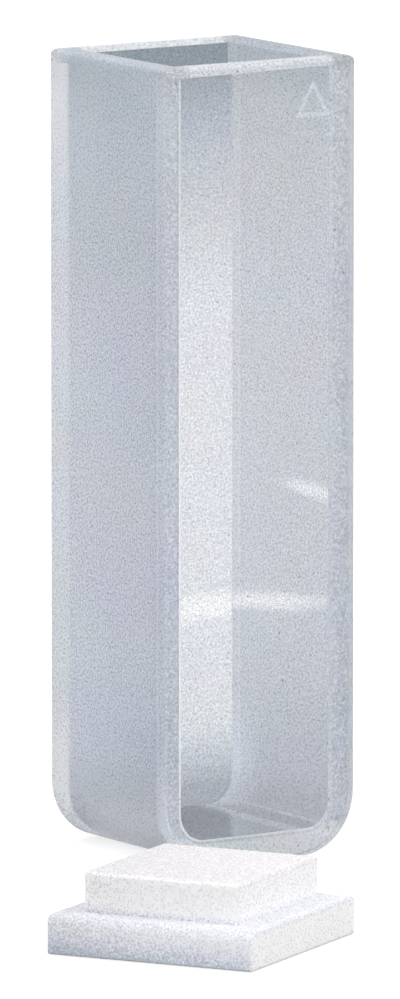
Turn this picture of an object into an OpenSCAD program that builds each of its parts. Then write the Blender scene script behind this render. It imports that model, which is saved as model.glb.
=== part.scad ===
// Glass spectrometer cell: two polished windows fused to a U-shaped frame
// with ground sides, and the loose plug lid that lies beside it.
// X runs across the ground sides, Y along the light path, Z up.
// The origin is the centre of the cell's underside.

/* [Cell] */
// Width across the two ground sides
cell_w = 12.5; // [9:0.5:20]
// Inside distance between the windows, the light path
light_path = 10; // [6:0.5:30]
// Height from the underside to the rim
cell_h = 45; // [25:1:60]

/* [Glass] */
// Thickness of each window
window_t = 1; // [0.8:0.1:2.5]
// Thickness of each side wall of the frame
side_t = 1.25; // [1:0.05:2.5]
// Thickness of the frame under the well
floor_t = 1.5; // [1.2:0.1:4]

/* [Corners] */
// Outer radius of the two bottom corners
foot_r = 3.5; // [2:0.1:4]
// Inner radius of the two bottom corners of the well
well_r = 1.6; // [0.5:0.1:3]

/* [Ground edges] */
// Bevel round the outside of the rim
rim_bevel = 0.4; // [0.2:0.05:0.6]
// Bevel round the mouth of the well
mouth_bevel = 0.3; // [0.1:0.05:0.35]
// Small bevel along the outer edges of the windows
edge_bevel = 0.12; // [0.05:0.01:0.3]

/* [Lid] */
// Thickness of the flange that covers the rim
flange_t = 2.2; // [1.5:0.1:4]
// Overhang of the flange past each face of the cell
flange_over = 0.15; // [0:0.05:0.5]
// Rounding of the two flange edges along the ground sides, on the plug side
flange_side_round = 0.7; // [0.1:0.1:1.2]
// Rounding of the two flange edges along the windows, on the plug side
flange_window_round = 0.25; // [0.05:0.05:1.2]
// Radius of the flange's upright corners
flange_corner_r = 0.15; // [0.05:0.05:1.5]
// Bevel of the flange's edges on the closed side
flange_bevel = 0.1; // [0.05:0.05:0.5]
// Height of the plug above the flange
plug_h = 2.2; // [1:0.1:5]
// Clearance between the plug and each side wall of the well
plug_side_gap = 0.1; // [0.05:0.05:0.4]
// Clearance between the plug and each window, wider so as not to scratch it
plug_window_gap = 0.3; // [0.05:0.05:0.6]
// Radius of the plug's upright corners
plug_corner_r = 0.3; // [0.1:0.1:1.5]
// Lead-in bevel round the end of the plug
plug_bevel = 0.15; // [0.05:0.05:0.8]

/* [Lid laid beside the cell] */
// Free distance between the cell's and the lid's circumscribed circles
lid_clear = 13; // [5:0.5:40]
// Direction from the cell to the lid, turned from -Y towards -X
lid_bearing = 33; // [-80:1:80]
// Turn of the lid on the surface
lid_turn = 31; // [-90:0.5:90]

/* [Hidden] */
$fn = 96;
over = 1; // how far a cutting shape runs past the face that it cuts

cell_d = light_path + 2 * window_t;
well_w = cell_w - 2 * side_t;
flange_w = cell_w + 2 * flange_over;
flange_d = cell_d + 2 * flange_over;
plug_w = well_w - 2 * plug_side_gap;
plug_d = light_path - 2 * plug_window_gap;
// Each circle's radius is half the diagonal of its plan
lid_reach = (norm([cell_w, cell_d]) + norm([flange_w, flange_d])) / 2 + lid_clear;

// ---- outlines ----

// Stands an outline drawn in X and Z up, and gives it a depth along Y
module along_y(depth) {
    rotate([90, 0, 0]) linear_extrude(depth, center = true) children();
}

// Stands an outline drawn in Y and Z up, and gives it a length along X
module along_x(length) {
    rotate([90, 0, 90]) linear_extrude(length, center = true) children();
}

// Cuts 45 degree bevels off the two corners of an outline at height z
module bevel_corners(w, z, bevel) {
    difference() {
        children();
        for (side = [-1, 1])
            translate([side * w / 2, z]) rotate(45) square(bevel * sqrt(2), center = true);
    }
}

// Upright rectangle on the X axis
module panel(w, h) {
    translate([-w / 2, 0]) square([w, h]);
}

// Upright rectangle with both bottom corners rounded
module footed_panel(w, h, r) {
    translate([-w / 2, r]) square([w, h - r]);
    translate([-w / 2 + r, 0]) square([w - 2 * r, h]);
    for (side = [-1, 1]) translate([side * (w / 2 - r), r]) circle(r);
}

// Upright rectangle with both top corners rounded
module domed_panel(w, h, r) {
    translate([0, h]) mirror([0, 1]) footed_panel(w, h, r);
}

// Plan rectangle with four rounded corners
module rounded_plan(w, d, r) {
    square([w - 2 * r, d], center = true);
    square([w, d - 2 * r], center = true);
    for (sx = [-1, 1], sy = [-1, 1])
        translate([sx * (w / 2 - r), sy * (d / 2 - r)]) circle(r);
}

// Plan rectangle with its four corners bevelled
module bevelled_plan(w, d, bevel) {
    difference() {
        square([w, d], center = true);
        for (sx = [-1, 1], sy = [-1, 1])
            translate([sx * w / 2, sy * d / 2]) rotate(45) square(bevel * sqrt(2), center = true);
    }
}

// ---- cell ----

// The edge bevel where it follows one rounded foot of the rear window
module foot_edge_cut() {
    reach = foot_r + over;
    translate([cell_w / 2 - foot_r, 0, foot_r]) intersection() {
        rotate([-90, 0, 0]) rotate_extrude() polygon([
            [reach, cell_d / 2 + over],
            [reach, cell_d / 2 - edge_bevel - over],
            [foot_r - edge_bevel - over, cell_d / 2 + over]
        ]);
        translate([0, 0, -reach]) cube([reach, cell_d, reach]);
    }
}

// Outside of the fused cell, with every ground bevel
module cell_block() {
    difference() {
        intersection() {
            along_y(cell_d) bevel_corners(cell_w, cell_h, rim_bevel)
                footed_panel(cell_w, cell_h, foot_r);
            along_x(cell_w) bevel_corners(cell_d, cell_h, rim_bevel)
                bevel_corners(cell_d, 0, edge_bevel) panel(cell_d, cell_h);
            linear_extrude(cell_h) bevelled_plan(cell_w, cell_d, edge_bevel);
        }
        for (sx = [0, 1], sy = [0, 1]) mirror([sx, 0, 0]) mirror([0, sy, 0]) foot_edge_cut();
    }
}

// Profile of the mouth bevel: a funnel that widens at 45 degrees through the rim
module funnel_profile(w) {
    low = cell_h - mouth_bevel - over;
    polygon([
        [-w / 2 + over, low],
        [w / 2 - over, low],
        [w / 2 + mouth_bevel + over, cell_h + over],
        [-w / 2 - mouth_bevel - over, cell_h + over]
    ]);
}

// Funnel with mitred corners that bevels the mouth across the frame and both windows
module mouth_cut() {
    intersection() {
        along_y(cell_d + 2 * over) funnel_profile(well_w);
        along_x(cell_w + 2 * over) funnel_profile(light_path);
    }
}

// The part of the cell between two distances along the light path
module cell_slice(from_y, to_y) {
    difference() {
        intersection() {
            cell_block();
            translate([-cell_w, from_y, -over])
                cube([2 * cell_w, to_y - from_y, cell_h + 2 * over]);
        }
        mouth_cut();
    }
}

module u_frame() {
    color("lightsteelblue") difference() {
        cell_slice(-light_path / 2, light_path / 2);
        translate([0, 0, floor_t]) along_y(light_path + 2 * over)
            footed_panel(well_w, cell_h, well_r);
    }
}

module front_window() {
    color("aliceblue") cell_slice(-cell_d / 2, -light_path / 2);
}

module rear_window() {
    color("aliceblue") cell_slice(light_path / 2, cell_d / 2);
}

// ---- lid, with its closed side down ----

module flange() {
    intersection() {
        along_y(flange_d) bevel_corners(flange_w, 0, flange_bevel)
            domed_panel(flange_w, flange_t, flange_side_round);
        along_x(flange_w) bevel_corners(flange_d, 0, flange_bevel)
            domed_panel(flange_d, flange_t, flange_window_round);
        linear_extrude(flange_t) rounded_plan(flange_w, flange_d, flange_corner_r);
    }
}

module plug() {
    top = flange_t + plug_h;
    intersection() {
        along_y(plug_d) bevel_corners(plug_w, top, plug_bevel) panel(plug_w, top);
        along_x(plug_w) bevel_corners(plug_d, top, plug_bevel) panel(plug_d, top);
        translate([0, 0, flange_t / 2]) linear_extrude(top - flange_t / 2)
            rounded_plan(plug_w, plug_d, plug_corner_r);
    }
}

module lid() {
    color("white")
        translate([-lid_reach * sin(lid_bearing), -lid_reach * cos(lid_bearing), 0])
            rotate(lid_turn) {
                flange();
                plug();
            }
}

u_frame();
front_window();
rear_window();
lid();
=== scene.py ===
# Spectrometer cell of ground and polished glass, with its white plug lid set beside it.
# All sizes are in metres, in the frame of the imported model.
import bpy
import bmesh
from math import cos, pi, radians, sin
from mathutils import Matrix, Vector


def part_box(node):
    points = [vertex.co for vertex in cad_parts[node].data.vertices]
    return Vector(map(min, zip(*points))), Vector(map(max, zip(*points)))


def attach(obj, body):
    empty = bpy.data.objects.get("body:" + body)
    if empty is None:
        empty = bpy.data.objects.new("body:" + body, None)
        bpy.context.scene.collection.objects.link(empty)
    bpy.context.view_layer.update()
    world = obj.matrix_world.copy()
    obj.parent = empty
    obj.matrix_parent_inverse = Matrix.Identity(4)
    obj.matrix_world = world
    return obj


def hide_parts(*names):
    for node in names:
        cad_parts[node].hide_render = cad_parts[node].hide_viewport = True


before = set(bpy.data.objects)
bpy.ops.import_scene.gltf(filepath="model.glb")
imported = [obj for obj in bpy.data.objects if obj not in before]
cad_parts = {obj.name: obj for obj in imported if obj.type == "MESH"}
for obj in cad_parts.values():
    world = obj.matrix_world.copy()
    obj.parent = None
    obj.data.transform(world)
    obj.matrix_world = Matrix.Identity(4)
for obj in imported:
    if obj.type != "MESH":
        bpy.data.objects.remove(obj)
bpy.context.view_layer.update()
print("frame loaded:", ", ".join(sorted(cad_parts)))

mm = 0.001
bpy.context.scene.view_settings.view_transform = "Standard"

# light goes back and forth many times between the faces of a thin window
lightPaths = {"max_bounces": 32, "glossy_bounces": 24, "transmission_bounces": 24}
for name, count in lightPaths.items():
    setattr(bpy.context.scene.cycles, name, count)

cameraView = {
    "azimuth": -32.93,       # degrees round the cell, from straight in front of the window
    "elevation": 8.4,        # degrees above the middle of the cell
    "distance": 750 * mm,    # from the middle of the cell
    "lens": 481.8,           # long lens on the default 36 mm sensor
    "aimBelow": 2.82 * mm,   # the aim lies this far under the middle of the cell
    "aimLeft": 0.12 * mm,
}


def addCamera(view, middle):
    turn, rise = radians(view["azimuth"]), radians(view["elevation"])
    back = Vector((sin(turn) * cos(rise), -cos(turn) * cos(rise), sin(rise)))
    left = Vector((-cos(turn), -sin(turn), 0))
    camera = bpy.data.objects.new("camera", bpy.data.cameras.new("camera"))
    camera.data.lens = view["lens"]
    camera.data.clip_start = 0.05
    camera.data.clip_end = 50
    camera.location = middle + back * view["distance"]
    aim = middle - Vector((0, 0, view["aimBelow"])) + left * view["aimLeft"]
    camera.rotation_mode = "QUATERNION"
    camera.rotation_quaternion = (aim - camera.location).to_track_quat("-Z", "Y")
    bpy.context.scene.collection.objects.link(camera)
    bpy.context.scene.camera = camera


low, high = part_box("u_frame")
addCamera(cameraView, Vector((0, 0, (low.z + high.z) / 2)))
print("camera placed")


def newMaterial(name):
    material = bpy.data.materials.new(name)
    material.use_nodes = True
    material.node_tree.nodes.clear()
    return material, material.node_tree


def addNode(tree, kind, inputs=None, **settings):
    node = tree.nodes.new("ShaderNode" + kind)
    for key, value in settings.items():
        setattr(node, key, value)
    for key, value in (inputs or {}).items():
        if isinstance(value, bpy.types.NodeSocket):
            tree.links.new(value, node.inputs[key])
        else:
            node.inputs[key].default_value = value
    return node


def maths(tree, operation, *values):
    return addNode(tree, "Math", dict(enumerate(values)), operation=operation).outputs[0]


def vectorMaths(tree, operation, *values, result="Vector"):
    return addNode(tree, "VectorMath", dict(enumerate(values)), operation=operation).outputs[result]


def remap(tree, value, fromMin, fromMax, toMin, toMax):
    return addNode(tree, "MapRange", {"Value": value, "From Min": fromMin, "From Max": fromMax,
                                      "To Min": toMin, "To Max": toMax}).outputs[0]


def place(tree):
    spot = addNode(tree, "TexCoord").outputs["Object"]
    return spot, addNode(tree, "SeparateXYZ", {0: spot}).outputs


def rampOver(tree, value, stops):
    # stops are (position in mm, grey or colour); the ramp holds them as shares of the brightest one
    first, last = stops[0][0], stops[-1][0]
    share = remap(tree, value, first * mm, last * mm, 0, 1)
    ramp = addNode(tree, "ValToRGB", {0: share})
    elements = ramp.color_ramp.elements
    while len(elements) < len(stops):
        elements.new(0.5)
    colours = [colour if isinstance(colour, tuple) else (colour,) * 3 for position, colour in stops]
    most = max(1, *(max(colour) for colour in colours))
    for element, (position, colour) in zip(elements, stops):
        element.position = (position - first) / (last - first)
    for element, colour in zip(elements, colours):
        element.color = (*(part / most for part in colour), 1)
    scaled = addNode(tree, "VectorMath", {0: ramp.outputs[0], "Scale": most}, operation="SCALE")
    return scaled.outputs[0]


def product(tree, *colours):
    total = colours[0]
    for colour in colours[1:]:
        total = vectorMaths(tree, "MULTIPLY", total, colour)
    return total


grainNoise = {
    "detail": 2.0,
    "roughness": 0.6,
    "spread": (0.3, 0.7),    # nearly all of the noise lies between these
    "pitRim": 1.6,           # a pit fades out at this many times its size
}


def grain(tree, spot, look, depth):
    # fine mottling, as often brighter as darker, with scattered dark pits
    noise = addNode(tree, "TexNoise", {
        "Vector": spot, "Scale": 1 / look["grainSize"],
        "Detail": grainNoise["detail"], "Roughness": grainNoise["roughness"]})
    swing = remap(tree, noise.outputs["Fac"], *grainNoise["spread"], -1, 1)
    level = maths(tree, "POWER", 1 + depth, swing)
    pits = addNode(tree, "TexVoronoi", {"Vector": spot, "Scale": 1 / look["pitSpacing"]})
    size = look["pitSize"]
    dark = remap(tree, pits.outputs["Distance"], size, size * grainNoise["pitRim"],
                 1 - look["pitDepth"], 1)
    return maths(tree, "MULTIPLY", level, dark)


def clouds(tree, spot, look):
    # broad, faint shifts of colour
    noise = addNode(tree, "TexNoise", {"Vector": spot, "Scale": 1 / look["cloudSize"], "Detail": 1.0})
    return vectorMaths(tree, "MULTIPLY_ADD", noise.outputs["Color"], (look["cloudDepth"] * 2,) * 3,
                       (1 - look["cloudDepth"],) * 3)


def newPiece(name, edit):
    mesh = bpy.data.meshes.new(name)
    edit.to_mesh(mesh)
    edit.free()
    piece = bpy.data.objects.new(name, mesh)
    bpy.context.scene.collection.objects.link(piece)
    return piece


def shownRays(tree):
    path = addNode(tree, "LightPath").outputs
    first = maths(tree, "MAXIMUM", path["Is Camera Ray"], path["Is Glossy Ray"])
    return maths(tree, "MAXIMUM", first, path["Is Transmission Ray"])


stageLook = {
    "floorRadius": 12.0,
    "floorDrop": 0.05 * mm,
    "floorColour": (0.40, 0.40, 0.40, 1),
    "floorGlow": 0.74,       # added for the rays that see the floor, so that it reads as white paper
    "floorBounce": 0.12,     # the glow left for the rays that only carry its light
    "skyLight": 0.6,
}


def addStage(look):
    world = bpy.data.worlds.new("world")
    bpy.context.scene.world = world
    world.use_nodes = True
    tree = world.node_tree
    tree.nodes.clear()
    level = remap(tree, shownRays(tree), 0, 1, look["skyLight"], 1)
    sky = addNode(tree, "Background", {"Color": (1, 1, 1, 1), "Strength": level})
    addNode(tree, "OutputWorld", {"Surface": sky.outputs[0]})

    mesh = bpy.data.meshes.new("floor")
    edit = bmesh.new()
    bmesh.ops.create_circle(edit, cap_ends=True, segments=96, radius=look["floorRadius"])
    edit.to_mesh(mesh)
    edit.free()
    floor = bpy.data.objects.new("floor", mesh)
    floor.location.z = -look["floorDrop"]
    bpy.context.scene.collection.objects.link(floor)
    material, tree = newMaterial("paper")
    plain = addNode(tree, "BsdfDiffuse", {"Color": look["floorColour"]})
    glow = remap(tree, shownRays(tree), 0, 1, look["floorBounce"], look["floorGlow"])
    light = addNode(tree, "Emission", {"Color": (1, 1, 1, 1), "Strength": glow})
    both = addNode(tree, "AddShader", {0: plain.outputs[0], 1: light.outputs[0]})
    addNode(tree, "OutputMaterial", {"Surface": both.outputs[0]})
    mesh.materials.append(material)


lamps = {
    "key": {"place": (0.55, -0.65, 0.60), "size": 0.5, "power": 4.2},
    "fill": {"place": (-0.7, -0.3, 0.6), "size": 0.6, "power": 2.2},
    "back": {"place": (-0.2, 0.6, 0.8), "size": 0.6, "power": 2.4},
}


def addLamps(lamps, aim):
    for name, lamp in lamps.items():
        data = bpy.data.lights.new(name, "AREA")
        data.size = lamp["size"]
        data.energy = lamp["power"]
        light = bpy.data.objects.new(name, data)
        light.location = lamp["place"]
        light.rotation_mode = "QUATERNION"
        light.rotation_quaternion = (aim - light.location).to_track_quat("-Z", "Y")
        bpy.context.scene.collection.objects.link(light)


# bright patches of the surroundings on the floor behind, which only show through the glass and in it
cardHeight = 0.5 * mm
glowCards = {
    "right_glow": {"place": (44.8 * mm, 69.5 * mm), "turn": 17, "length": 14 * mm, "width": 4.5 * mm,
                   "colour": (1.0, 0.86, 0.62, 1), "strength": 0.32},
    "left_glow": {"place": (-39.2 * mm, 69.4 * mm), "turn": 67, "length": 5 * mm, "width": 4 * mm,
                  "colour": (1.0, 0.92, 0.76, 1), "strength": 5.3},
    "far_glow": {"place": (-67.1 * mm, 106.4 * mm), "turn": 106, "length": 6.5 * mm, "width": 1.5 * mm,
                 "colour": (1.0, 0.95, 0.86, 1), "strength": 5.0},
}


def addGlowCard(name, card):
    edit = bmesh.new()
    bmesh.ops.create_grid(edit, x_segments=1, y_segments=1, size=1)
    for corner in edit.verts:
        corner.co = Vector((corner.co.x * card["length"], corner.co.y * card["width"], 0))
    piece = newPiece(name, edit)
    piece.location = (*card["place"], cardHeight)
    piece.rotation_euler.z = radians(card["turn"])
    material, tree = newMaterial(name)
    spot, axis = place(tree)
    strength = card["strength"]
    for side, reach in (("X", card["length"]), ("Y", card["width"])):
        share = maths(tree, "POWER", maths(tree, "DIVIDE", axis[side], reach), 2)
        fade = maths(tree, "MAXIMUM", maths(tree, "SUBTRACT", 1.0, share), 0.0)
        strength = maths(tree, "MULTIPLY", strength, fade)
    light = addNode(tree, "Emission", {"Color": card["colour"], "Strength": strength})
    clear = addNode(tree, "BsdfTransparent")
    both = addNode(tree, "AddShader", {0: clear.outputs[0], 1: light.outputs[0]})
    addNode(tree, "OutputMaterial", {"Surface": both.outputs[0]})
    piece.data.materials.append(material)
    piece.visible_camera = piece.visible_diffuse = piece.visible_shadow = False


addStage(stageLook)
addLamps(lamps, Vector((0, 0, 20 * mm)))
for name, card in glowCards.items():
    addGlowCard(name, card)
print("stage and lamps ready")

cell = {
    "side": 1.25 * mm,          # wall of the frame under each ground side
    "floor": 1.35 * mm,         # under the well
    "footRadius": 3.5 * mm,
    "wellRadius": 1.6 * mm,
    "rimBevel": 0.4 * mm,
    # ground by hand: the front bevel comes lower at its left end, and the left one at its far end
    "frontDrops": (0.24 * mm, 0.05 * mm),
    "leftDrop": 0.35 * mm,
    "mouthBevel": 0.3 * mm,
    "edgeBevel": 0.06 * mm,
    "rimAngles": (0, 16, 31.8, 50, 70, 90),
    "nearSeam": 0.10 * mm,       # bead of fused glass round the well, along each window
    "farSeam": 0.035 * mm,
    "jointThickness": 0.02 * mm,
    "jointInset": 0.04 * mm,
    # the joint's bands by their distance outside the well: a painted bright edge, a dim line, then haze
    "jointBands": (-0.07 * mm, 0.05 * mm, 0.18 * mm),
    "arcSteps": 24,
    "sharpFrom": 25,             # degrees between two faces
}
cellFinish = ("ground", "rim", "front", "rear", "wellWindow", "wellLeft", "wellRight", "seam", "edge")


def arcPoints(centre, radius, start, end, steps):
    for i in range(steps + 1):
        angle = radians(start + (end - start) * i / steps)
        yield centre[0] + radius * cos(angle), centre[1] + radius * sin(angle)


def footedOutline(half, base, radius, steps, shoulder, crest=()):
    # down one side, round both feet and up the other, in X and Z; the crest goes on from the shoulder
    points = [(-half, shoulder)]
    points += arcPoints((radius - half, base + radius), radius, 180, 270, steps)
    points += arcPoints((half - radius, base + radius), radius, 270, 360, steps)
    points.append((half, shoulder))
    return [(-x, z) for x, z in reversed(crest)] + points + list(crest)


def ringOfVerts(edit, outline, y):
    return [edit.verts.new((x, y, z)) for x, z in outline]


def skin(edit, first, second, finish, closed=False):
    count = len(first)
    for i in range(count if closed else count - 1):
        j = (i + 1) % count
        corners = list(dict.fromkeys((first[i], first[j], second[j], second[i])))
        edit.faces.new(corners).material_index = cellFinish.index(finish)


def cap(edit, ring, finish):
    edit.faces.new(ring).material_index = cellFinish.index(finish)


def buildCell(cell, low, high, windowThickness):
    edit = bmesh.new()
    halfWidth, halfDepth, top = high.x, high.y + windowThickness, high.z
    wellX, wellY = halfWidth - cell["side"], high.y
    rim, edge, mouth = cell["rimBevel"], cell["edgeBevel"], cell["mouthBevel"]
    steps = cell["arcSteps"]

    # rings from front to back, over the rounded rim of one window and down that of the other
    curve = [(rim * (1 - cos(radians(angle))), top - rim + rim * sin(radians(angle)))
             for angle in cell["rimAngles"]]
    rings = []
    for sy, stations in ((-1, curve), (1, curve[::-1])):
        for depth, crest in stations:
            inset = max(edge - depth, 0)
            brink = [(halfWidth - max(inward, inset), z) for inward, z in curve if z <= crest]
            brink += brink[-1:] * (len(curve) - len(brink))
            outline = footedOutline(halfWidth - inset, inset, cell["footRadius"] - inset, steps,
                                    top - rim, brink[1:])
            rings.append(ringOfVerts(edit, outline, sy * (halfDepth - depth)))
    for ring in rings:
        for corner in ring:
            if abs(corner.co.z - top + rim) < 1e-7:
                if ring is rings[0]:
                    corner.co.z -= cell["frontDrops"][corner.co.x > 0]
                elif corner.co.x < 0 < corner.co.y and ring is not rings[-1]:
                    corner.co.z -= cell["leftDrop"]
    middle = len(curve) - 1
    for i, (first, second) in enumerate(zip(rings, rings[1:])):
        finish = "edge" if abs(i - middle) > middle - 2 else "ground"
        skin(edit, first, second, finish, closed=i != middle)
    cap(edit, rings[0], "front")
    cap(edit, rings[-1], "rear")

    # the well, from the mouth's bevel down
    nearPane, near, far, farPane = (
        ringOfVerts(edit, footedOutline(wellX - bead, cell["floor"] + bead, cell["wellRadius"] - bead,
                                        steps, top - mouth), y)
        for bead, y in ((cell["nearSeam"], -wellY), (0, cell["nearSeam"] - wellY),
                        (0, wellY - cell["farSeam"]), (cell["farSeam"], wellY)))
    skin(edit, near, far, "wellLeft")
    skin(edit, nearPane, near, "seam")
    skin(edit, far, farPane, "seam")
    cap(edit, nearPane, "wellWindow")
    cap(edit, farPane, "wellWindow")
    lip = [edit.verts.new((sx * (wellX + mouth), sy * (wellY + mouth), top))
           for sx, sy in ((-1, -1), (1, -1), (1, 1), (-1, 1))]
    throat = [nearPane[0], nearPane[-1], near[-1], far[-1], farPane[-1], farPane[0], far[0], near[0]]
    brow = [rings[middle][0], rings[middle][-1], rings[middle + 1][-1], rings[middle + 1][0]]
    skin(edit, throat, [lip[i] for i in (0, 1, 1, 2, 2, 3, 3, 0)], "rim", closed=True)
    skin(edit, lip, brow, "rim", closed=True)

    bmesh.ops.remove_doubles(edit, verts=edit.verts, dist=1e-7)
    bmesh.ops.dissolve_degenerate(edit, edges=edit.edges, dist=1e-7)
    bmesh.ops.recalc_face_normals(edit, faces=edit.faces)
    for face in edit.faces:
        face.smooth = True
        centre = face.calc_center_median()
        if centre.z > top - rim - cell["leftDrop"]:
            face.material_index = cellFinish.index("rim")
        elif face.material_index == cellFinish.index("wellLeft") and centre.x > 1e-6:
            face.material_index = cellFinish.index("wellRight")
    for one in edit.edges:
        one.smooth = one.calc_face_angle(pi) < radians(cell["sharpFrom"])
    volume = round(edit.calc_volume() / mm ** 3, 1)
    print("cell of glass:", len(edit.faces), "faces,", volume, "cubic mm")
    piece = newPiece("cell_glass", edit)
    weights = piece.modifiers.new("even normals", "WEIGHTED_NORMAL")
    weights.keep_sharp = True
    return piece


# the fused end of the U frame against the front window: a thin hazy layer inside the glass
def buildJoint(cell, low, high):
    edit = bmesh.new()
    inset, steps, top = cell["jointInset"], cell["arcSteps"], high.z - cell["rimBevel"]
    wellX = high.x - cell["side"]
    outlines = [footedOutline(wellX + away, cell["floor"] - away, cell["wellRadius"] + away, steps, top)
                for away in cell["jointBands"]]
    outlines.append(footedOutline(high.x - inset, inset, cell["footRadius"] - inset, steps, top))
    half = cell["jointThickness"] / 2
    layers = [[ringOfVerts(edit, outline, y) for outline in outlines]
              for y in (low.y - half, low.y + half)]
    for rings in layers:
        for band, (inner, outer) in enumerate(zip(rings, rings[1:])):
            for i in range(len(inner) - 1):
                face = edit.faces.new((inner[i], inner[i + 1], outer[i + 1], outer[i]))
                face.material_index = band
    near, far = ([*rings[0], *(v for ring in rings[1:-1] for v in ring[-1:]), *reversed(rings[-1]),
                  *(v for ring in reversed(rings[1:-1]) for v in ring[:1])] for rings in layers)
    for i in range(len(near)):
        j = (i + 1) % len(near)
        edit.faces.new((near[i], near[j], far[j], far[i])).material_index = 2
    bmesh.ops.recalc_face_normals(edit, faces=edit.faces)
    return newPiece("front_joint", edit)


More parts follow.
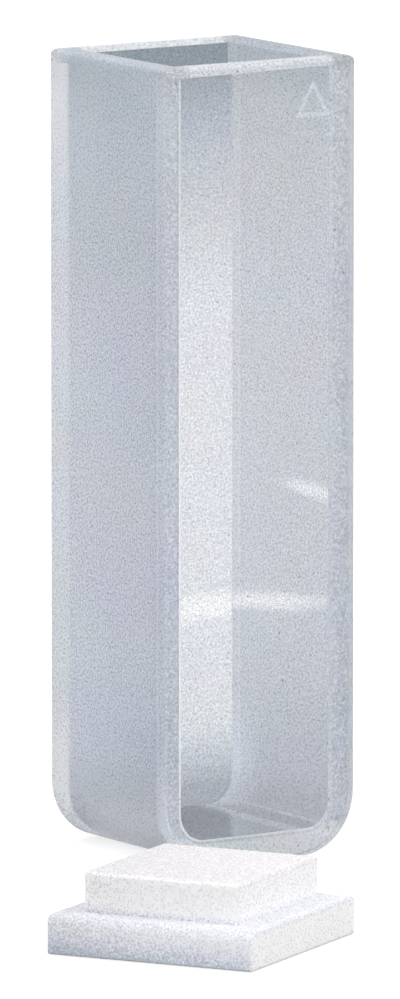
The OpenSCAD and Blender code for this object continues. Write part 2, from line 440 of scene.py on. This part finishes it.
# tints follow the height in mm; the square root of a tint is what one crossing lets through
# besides the glass's own tint, these tints carry painted light and shade: how they rise and fall in
# height and across each face stands for the lit and shaded surroundings seen through the glass
cellLook = {
    "index": 1.52,
    "groundRoughness": 0.55,
    # painted shade: nearly black at the underside, where the cell stands, lightest low down, and dimmer
    # over the middle height
    "groundTintAndShade": ((0, (0.08, 0.09, 0.11)), (0.15, (0.90, 0.93, 1.08)), (2, (0.95, 0.98, 1.12)),
                   (3, (0.95, 0.98, 1.10)), (5, (0.76, 0.785, 0.90)), (7, (0.64, 0.67, 0.79)),
                   (12, (0.63, 0.67, 0.805)), (34, (0.635, 0.67, 0.805)), (43, (0.78, 0.82, 0.93))),
    # soft patches of painted light and shade: where each starts and is full, across the face and in
    # height, and its tone there; the left ground side has painted shade at its far foot and painted
    # light at its far top
    "footPaintedShade": {"across": (2.4 * mm, 4.2 * mm), "height": (3.2 * mm, 1.5 * mm), "tone": 0.36},
    "crownPaintedLight": {"across": (0, 3.5 * mm), "height": (37 * mm, 42 * mm), "tone": 1.3},
    # and painted light makes the right wall of the well lighter low down, towards the rear window
    "cornerPaintedLight": {"across": (2 * mm, 4.7 * mm), "height": (8 * mm, 3.5 * mm), "tone": 1.8},
    # painted light: the height that the tint follows is raised at the right front of the underside,
    # where more light gets under the cell, as if the underside were a little higher there; the
    # direction stays fixed to the cell, and was taken from the camera's level axis
    "underSide": (0.84, -0.54, 0),
    "underSpan": (1.2 * mm, 1.6 * mm),
    "underLift": 0.08 * mm,
    # painted light across a ground side, from its near seam to the far one, against the middle:
    # brighter bands along both seams
    "groundLightAcross": ((-6, 1.12), (-5.2, 1.12), (-5.16, 1.45), (-5.0, 1.45), (-4.95, 0.92), (-4.7, 0.95),
                     (-4.5, 1.0), (3.9, 1.05), (4.15, (1.24, 1.22, 1.08)), (6, (1.20, 1.18, 1.02))),
    # painted light and shade: the rim is bright along both windows and dim between them and at the
    # corners
    "rimTintAndShade": ((-6, (0.82, 0.84, 0.88)), (-5, (0.82, 0.84, 0.88)), (-4.9, (0.75, 0.83, 0.93)),
                (4.9, (0.75, 0.83, 0.93)), (5, (0.93, 0.94, 0.97)), (6, (0.93, 0.94, 0.97))),
    "rimShadeAcross": ((-6.25, 0.77), (-5, 0.77), (-4.6, 1.0), (4.6, 1.0), (5, 0.64), (6.25, 0.64)),
    "rimClarity": 0.45,
    # painted shade: the edge bevels are darker from 4 mm up
    "edgeTintAndShade": ((0, (1.0, 1.0, 1.0)), (3, (1.0, 1.0, 1.0)), (4, (0.70, 0.72, 0.78))),
    "seamTint": ((0, (0.92, 0.96, 1.0)), (45, (0.95, 0.98, 1.0))),
    # painted light and shade: the left wall of the well is dimmer low down and lighter near the top
    "wellLeftTintAndShade": ((0, (0.55, 0.59, 0.66)), (6, (0.57, 0.61, 0.69)), (12, (0.62, 0.63, 0.66)),
                     (34, (0.62, 0.63, 0.66)), (40, (0.78, 0.83, 0.88)), (43.5, (0.80, 0.87, 0.94))),
    # painted shade: the right wall of the well is dark low down and dimmer near the top
    "wellRightTintAndShade": ((0, (0.22, 0.23, 0.28)), (2.1, (0.225, 0.235, 0.29)), (4, (0.34, 0.36, 0.45)),
                      (9, (0.51, 0.53, 0.585)), (14, (0.61, 0.635, 0.67)), (34, (0.62, 0.645, 0.67)),
                      (42, (0.48, 0.50, 0.53)), (43.5, (0.33, 0.375, 0.415))),
    "paneTint": (0.83, 0.83, 0.84),
    # painted light and shade: the haze is pale at its foot, and dimmer from 1.8 mm up
    "jointTintAndShade": ((0, (0.90, 0.93, 0.99)), (1.2, (0.87, 0.90, 0.97)), (1.8, (0.625, 0.655, 0.74)),
                  (8, (0.64, 0.67, 0.77)), (20, (0.69, 0.715, 0.81)), (45, (0.67, 0.69, 0.745))),
    # painted highlight: the joint's bright edge, palest at the left and dimmer towards the right
    "jointEdge": ((-5, (0.95, 0.97, 1.0)), (3.4, (0.93, 0.95, 0.99)), (5, (0.69, 0.72, 0.80))),
    "jointLine": ((-5, (0.60, 0.65, 0.72)), (-2, (0.66, 0.70, 0.78)), (1, (0.70, 0.735, 0.82))),
    "jointMost": (0.94, 0.97, 1.0),    # the palest that its grain gets
    "jointDepth": 0.05 * mm,
    "jointRoughness": 0.8,
    # painted glow: the bright edge gives off light of its own, standing for light caught along it; it
    # fades to the right, towards the rim and round the foot
    "edgePaintedGlow": 0.22,
    "glowAcross": (3.4 * mm, 5 * mm),
    "glowTop": (26 * mm, 42 * mm),
    "glowFoot": (2 * mm, 7 * mm),
    "glowFootShare": 0.1,
    # painted shade: the front window is a little darker at its foot and its top
    "frontTintAndShade": ((0, (0.93, 0.97, 1.0)), (5, (0.96, 0.985, 1.0)), (10, (0.99, 1.0, 1.0)),
                  (40, (0.99, 1.0, 1.0)), (45, (0.95, 0.98, 1.0))),
    # painted shade: the rear window is dark at its foot and near its top, and lightest in the middle
    # height
    "rearTintAndShade": ((0, (0.10, 0.12, 0.16)), (2.4, (0.13, 0.155, 0.205)), (4.5, (0.34, 0.39, 0.49)),
                 (5.8, (0.50, 0.55, 0.63)), (9, (0.54, 0.59, 0.66)), (11, (0.59, 0.63, 0.69)),
                 (30, (0.585, 0.625, 0.68)), (34, (0.42, 0.46, 0.50)), (40, (0.20, 0.24, 0.32)),
                 (43.3, (0.065, 0.09, 0.115)), (45, (0.06, 0.085, 0.11))),
    "cloudSize": 5 * mm,
    "cloudDepth": 0.10,
    "grainSize": 0.13 * mm,
    "groundGrain": 1.6,
    "windowGrain": 0.68,
    "rimGrain": 0.5,
    "jointGrain": 0.34,
    "jointEdgeGrain": 0.2,
    "pitSpacing": 0.9 * mm,
    "pitSize": 0.06,
    "pitDepth": 0.5,
}


def glassShader(tree, colour, look, roughness, clarity=1.0):
    shader = addNode(tree, "BsdfPrincipled", {
        "Base Color": colour, "Roughness": roughness, "IOR": look["index"],
        "Transmission Weight": clarity})
    addNode(tree, "OutputMaterial", {"Surface": shader.outputs[0]})


# a soft patch that multiplies the tone: painted shade where its tone is under 1, painted light where it
# is over 1
def paintedPatchTone(tree, patch, across, height):
    share = maths(tree, "MULTIPLY", remap(tree, across, *patch["across"], 0, 1),
                  remap(tree, height, *patch["height"], 0, 1))
    return remap(tree, share, 0, 1, 1, patch["tone"])


def groundGlass(look):
    material, tree = newMaterial("ground_glass")
    spot, axis = place(tree)
    # painted light under the right front of the cell
    rightFront = vectorMaths(tree, "DOT_PRODUCT", spot, look["underSide"], result="Value")
    lift = remap(tree, rightFront, *look["underSpan"], 0, look["underLift"])
    height = rampOver(tree, maths(tree, "ADD", axis["Z"], lift), look["groundTintAndShade"])
    side = maths(tree, "SIGN", axis["X"])
    away = maths(tree, "MULTIPLY", maths(tree, "MULTIPLY", axis["Y"], side), -1.0)
    across = rampOver(tree, away, look["groundLightAcross"])
    onLeft = maths(tree, "MULTIPLY", away, maths(tree, "LESS_THAN", axis["X"], 0.0))
    # the painted shade and light of the patches, carried by the grain below
    paintedPatches = maths(tree, "MULTIPLY", paintedPatchTone(tree, look["footPaintedShade"], onLeft, axis["Z"]),
                    paintedPatchTone(tree, look["crownPaintedLight"], onLeft, axis["Z"]))
    mottle = maths(tree, "MULTIPLY", grain(tree, spot, look, look["groundGrain"]), paintedPatches)
    colour = product(tree, height, across, mottle, clouds(tree, spot, look))
    glassShader(tree, colour, look, look["groundRoughness"])
    return material


def frostedGlass(look, name, tints, clarity=1.0):
    # tints has the stops of one ramp for each axis that the tone follows
    material, tree = newMaterial(name)
    spot, axis = place(tree)
    tones = [rampOver(tree, axis[along], stops) for along, stops in tints.items()]
    colour = product(tree, *tones, grain(tree, spot, look, look["rimGrain"]))
    glassShader(tree, colour, look, look["groundRoughness"], clarity)
    return material


def windowGlass(look, name, tint):
    material, tree = newMaterial(name)
    spot, axis = place(tree)
    height = rampOver(tree, axis["Z"], tint)
    mottle = grain(tree, spot, look, look["windowGrain"])
    glassShader(tree, product(tree, height, mottle, clouds(tree, spot, look)), look, 0.0)
    return material


def paneGlass(look):
    material, tree = newMaterial("pane_glass")
    glassShader(tree, (*look["paneTint"], 1), look, 0.0)
    return material


def wellGlass(look, name, tint, patch=None):
    material, tree = newMaterial(name)
    spot, axis = place(tree)
    colour = rampOver(tree, axis["Z"], tint)
    # the patch, where given, is painted light
    if patch:
        colour = product(tree, colour, paintedPatchTone(tree, patch, axis["Y"], axis["Z"]))
    glassShader(tree, colour, look, 0.0)
    return material


# haze through which light still passes, with a painted glow of its own where a glow is given
def hazyGlass(look, name, along, tint, depth, glow=0.0):
    material, tree = newMaterial(name)
    spot, axis = place(tree)
    colour = product(tree, rampOver(tree, axis[along], tint), grain(tree, spot, look, depth))
    colour = vectorMaths(tree, "MINIMUM", colour, look["jointMost"])
    paintedGlow = maths(tree, "MULTIPLY", remap(tree, axis["X"], *look["glowAcross"], glow, 0),
                   remap(tree, axis["Z"], *look["glowTop"], 1, 0))
    paintedGlow = maths(tree, "MULTIPLY", paintedGlow,
                   remap(tree, axis["Z"], *look["glowFoot"], look["glowFootShare"], 1))
    shader = addNode(tree, "BsdfPrincipled", {
        "Base Color": colour, "Roughness": look["jointRoughness"], "Subsurface Weight": 1.0,
        "Subsurface Radius": (1, 1, 1), "Subsurface Scale": look["jointDepth"],
        "Emission Color": (1, 1, 1, 1), "Emission Strength": paintedGlow})
    addNode(tree, "OutputMaterial", {"Surface": shader.outputs[0]})
    return material


windowLow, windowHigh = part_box("front_window")
glass = buildCell(cell, low, high, windowHigh.y - windowLow.y)
cellGlass = {
    "ground": groundGlass(cellLook),
    "rim": frostedGlass(cellLook, "ground_rim", {"Y": cellLook["rimTintAndShade"], "X": cellLook["rimShadeAcross"]},
                        cellLook["rimClarity"]),
    "front": windowGlass(cellLook, "front_window_glass", cellLook["frontTintAndShade"]),
    "rear": windowGlass(cellLook, "rear_window_glass", cellLook["rearTintAndShade"]),
    "wellWindow": paneGlass(cellLook),
    "wellLeft": wellGlass(cellLook, "well_left_glass", cellLook["wellLeftTintAndShade"]),
    "wellRight": wellGlass(cellLook, "well_right_glass", cellLook["wellRightTintAndShade"],
                           cellLook["cornerPaintedLight"]),
    "seam": frostedGlass(cellLook, "seam_glass", {"Z": cellLook["seamTint"]}),
    "edge": frostedGlass(cellLook, "edge_glass", {"Z": cellLook["edgeTintAndShade"]}, cellLook["rimClarity"]),
}
for finish in cellFinish:
    glass.data.materials.append(cellGlass[finish])
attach(glass, "root")
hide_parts("u_frame", "front_window", "rear_window")
joint = buildJoint(cell, low, high)
for material in (hazyGlass(cellLook, "joint_edge", "X", cellLook["jointEdge"],
                           cellLook["jointEdgeGrain"], cellLook["edgePaintedGlow"]),
                 hazyGlass(cellLook, "joint_line", "X", cellLook["jointLine"],
                           cellLook["jointEdgeGrain"]),
                 hazyGlass(cellLook, "joint_haze", "Z", cellLook["jointTintAndShade"], cellLook["jointGrain"])):
    joint.data.materials.append(material)
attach(joint, "root")
print("glass cell and its joint built")

markLook = {
    "centre": (3.45 * mm, 42.4 * mm),
    "radius": 1.35 * mm,       # from the centre to each corner
    "line": 0.22 * mm,
    "thickness": 0.01 * mm,
    "colour": (0.88, 0.93, 1.0),
    "cover": 0.4,
    "grain": 0.3,
    "roughness": 0.9,
}


# a small triangle etched on the front window, near its top, shows which way round the cell goes
def buildMark(look, face):
    edit = bmesh.new()
    x, z = look["centre"]
    half = look["thickness"] / 2
    turns = [radians(turn) for turn in (0, 120, 240)]
    rings = []
    for radius in (look["radius"], look["radius"] - 2 * look["line"]):
        corners = [(x + radius * sin(turn), z + radius * cos(turn)) for turn in turns]
        rings.append([ringOfVerts(edit, corners, y) for y in (face - half, face + half)])
    outer, inner = rings
    for i in range(3):
        j = (i + 1) % 3
        for first, second in ((outer[0], inner[0]), (outer[1], inner[1]), outer, inner):
            edit.faces.new((first[i], first[j], second[j], second[i]))
    bmesh.ops.recalc_face_normals(edit, faces=edit.faces)
    return newPiece("etched_mark", edit)


def etchedGlass(look, grainLook):
    material, tree = newMaterial("etched_glass")
    spot, axis = place(tree)
    mottle = grain(tree, spot, grainLook, look["grain"])
    shader = addNode(tree, "BsdfPrincipled", {
        "Base Color": product(tree, mottle, look["colour"]), "Roughness": look["roughness"],
        "Alpha": look["cover"]})
    addNode(tree, "OutputMaterial", {"Surface": shader.outputs[0]})
    return material


mark = buildMark(markLook, windowLow.y)
mark.data.materials.append(etchedGlass(markLook, cellLook))
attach(mark, "root")
print("etched mark built")

lidLook = {
    # painted shade: the band from 1.95 to 2.25 mm, at the top of the flange, and the plug top from 4.22
    # mm are darker
    "colour": ((0, (0.98, 0.98, 0.99)), (1.8, (0.98, 0.98, 0.98)), (1.95, (0.86, 0.87, 0.92)),
               (2.25, (0.86, 0.87, 0.92)), (2.6, (0.98, 0.965, 0.99)), (4.1, (0.98, 0.965, 0.99)),
               (4.22, (0.85, 0.825, 0.845)), (4.4, (0.85, 0.825, 0.845))),
    # painted shade: its left face is cooler and darker, most towards the surface it stands on
    "leftShadeColour": ((0, (0.58, 0.64, 0.73)), (0.4, (0.67, 0.71, 0.79)), (0.85, (0.79, 0.80, 0.91)),
                   (1.4, (0.88, 0.91, 0.96)), (2.0, (0.77, 0.80, 0.85)), (2.25, (0.77, 0.80, 0.85)),
                   (2.6, (0.98, 0.97, 0.99))),
    # the left faces are picked by the way they face, to take the painted shade
    "leftShadeFacing": (-0.1, -0.8),    # X part of the normal where a face starts, and ends, turning left
    # painted shade: both get darker towards the end on the camera's left; the direction stays fixed
    # to the lid, and was taken from the camera's level axis
    "across": (0.84, -0.54, 0),
    "colourShadeAcross": ((-8.5, 0.87), (0, 0.95), (4, 1.0)),
    "leftShadeAcross": ((-8.6, 0.89), (-5.5, 1.0), (-3.5, 1.06), (1.5, 1.15)),
    "roughness": 0.85,
    "gloss": 0.3,
    "softness": 0.4,
    "softDepth": 0.6 * mm,
    "grainSize": 0.12 * mm,
    "grain": 0.38,
    "pitSpacing": 0.8 * mm,
    "pitSize": 0.07,
    "pitDepth": 0.12,
    "bumpDepth": 0.006 * mm,
}


def waxyWhite(look):
    material, tree = newMaterial("waxy_white")
    spot, axis = place(tree)
    normal = addNode(tree, "TexCoord").outputs["Normal"]
    facing = addNode(tree, "SeparateXYZ", {0: normal}).outputs["X"]
    left = remap(tree, facing, *look["leftShadeFacing"], 0, 1)
    run = vectorMaths(tree, "DOT_PRODUCT", spot, look["across"], result="Value")
    colour, leftShadeColour = (
        product(tree, rampOver(tree, axis["Z"], look[tint]), rampOver(tree, run, look[across]))
        for tint, across in (("colour", "colourShadeAcross"), ("leftShadeColour", "leftShadeAcross")))
    # sockets 6 and 7 of the mix node are its colours, and 2 is the mixed one
    # the left faces take the painted shade colour
    tone = addNode(tree, "Mix", {0: left, 6: colour, 7: leftShadeColour}, data_type="RGBA")
    mottle = grain(tree, spot, look, look["grain"])
    relief = addNode(tree, "Bump", {"Height": mottle, "Distance": look["bumpDepth"], "Strength": 1.0})
    shader = addNode(tree, "BsdfPrincipled", {
        "Base Color": product(tree, tone.outputs[2], mottle), "Roughness": look["roughness"],
        "Specular IOR Level": look["gloss"], "Normal": relief.outputs[0],
        "Subsurface Weight": look["softness"], "Subsurface Radius": (1, 1, 1),
        "Subsurface Scale": look["softDepth"]})
    addNode(tree, "OutputMaterial", {"Surface": shader.outputs[0]})
    return material


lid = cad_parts["lid"]
lid.data.materials.clear()
lid.data.materials.append(waxyWhite(lidLook))
print("lid dressed")
